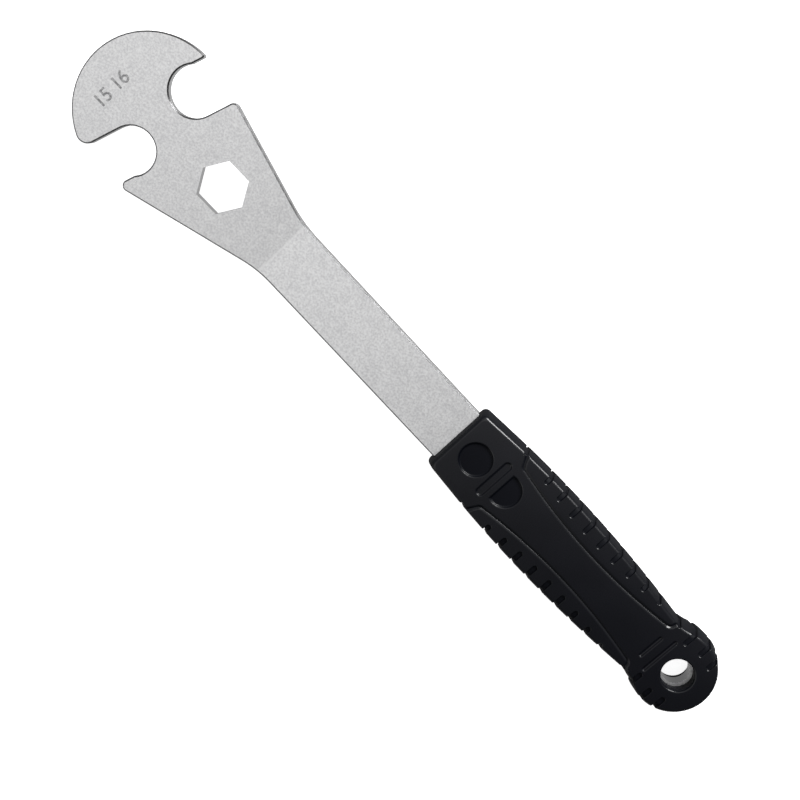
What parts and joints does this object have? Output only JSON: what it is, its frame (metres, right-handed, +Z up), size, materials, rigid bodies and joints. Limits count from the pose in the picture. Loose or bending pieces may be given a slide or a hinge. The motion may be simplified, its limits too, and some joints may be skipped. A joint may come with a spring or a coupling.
{
  "type": "pedal wrench",
  "caption": "Flat steel bicycle pedal wrench with open jaws on both sides of a round head, a hexagonal hole in the flared neck and a moulded black handle with a hanging hole.",
  "frame": {"origin": "middle of the overall length, on the tool's long axis, at the height of the handle's underside", "axes": "+X along the handle from the head to the hanging hole, +Y towards the side that the 16 mm jaw opens to, +Z up out of the face that the head is bent towards"},
  "size_m": [0.287, 0.0485, 0.0171],
  "materials": {
    "steel": "satin, fine grained plating",
    "grip_plastic": "semi-matt moulded"
  },
  "bodies": {
    "root": {"blade": "steel", "grip": "grip_plastic"}
  },
  "joints": []
}
